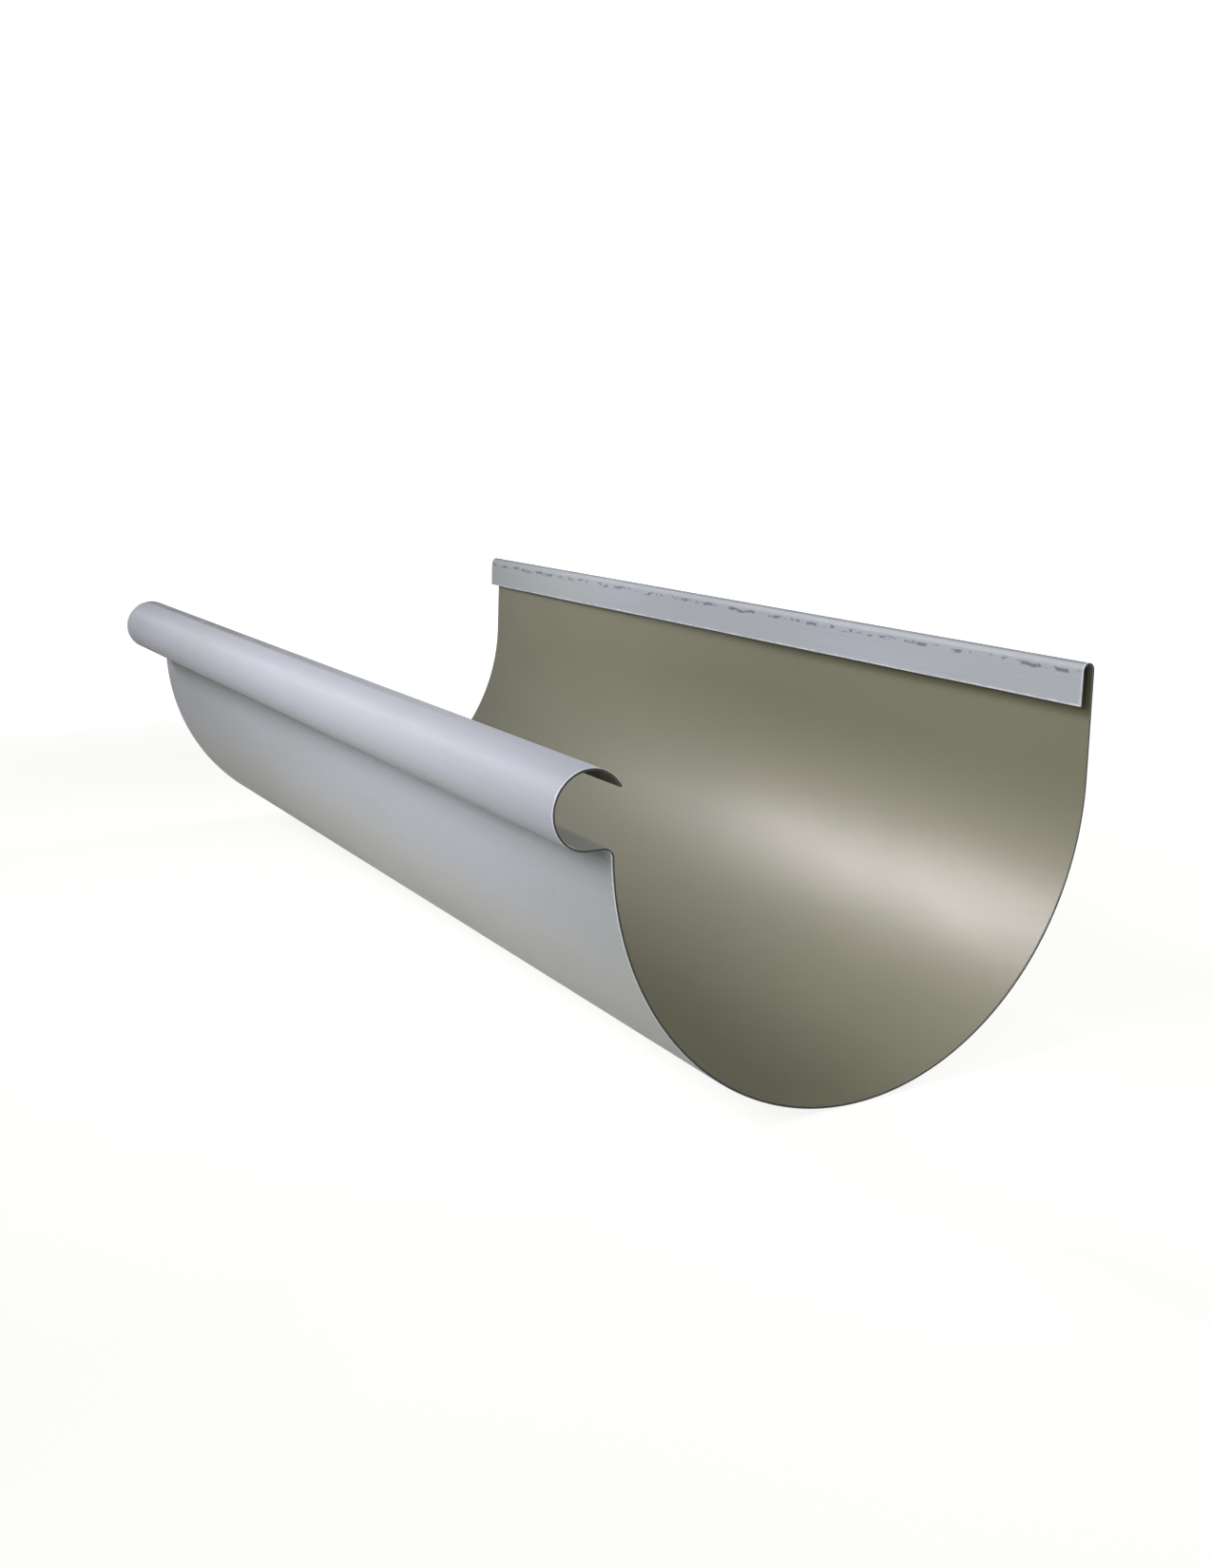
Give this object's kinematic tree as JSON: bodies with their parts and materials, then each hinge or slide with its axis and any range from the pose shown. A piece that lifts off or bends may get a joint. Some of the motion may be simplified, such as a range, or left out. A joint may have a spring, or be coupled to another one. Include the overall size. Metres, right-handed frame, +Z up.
{
  "type": "half round gutter",
  "caption": "Half round rain gutter of rolled sheet metal: open trough, outward rolled bead on the front rim, open inward hem on a taller back wall.",
  "frame": {"origin": "centre of the gutter's outer box, on the lowest line of the trough: it stands at Z = 0 on a floor", "axes": "+Y along the gutter's length; +X across it, from the bead on the front rim towards the taller back wall; +Z up, out of the open trough"},
  "size_m": [0.1678, 0.34, 0.1082],
  "materials": {
    "sheet": "factory painted sheet, light grey outside and olive bronze inside, satin"
  },
  "bodies": {
    "root": {"gutter": "sheet"}
  },
  "joints": []
}
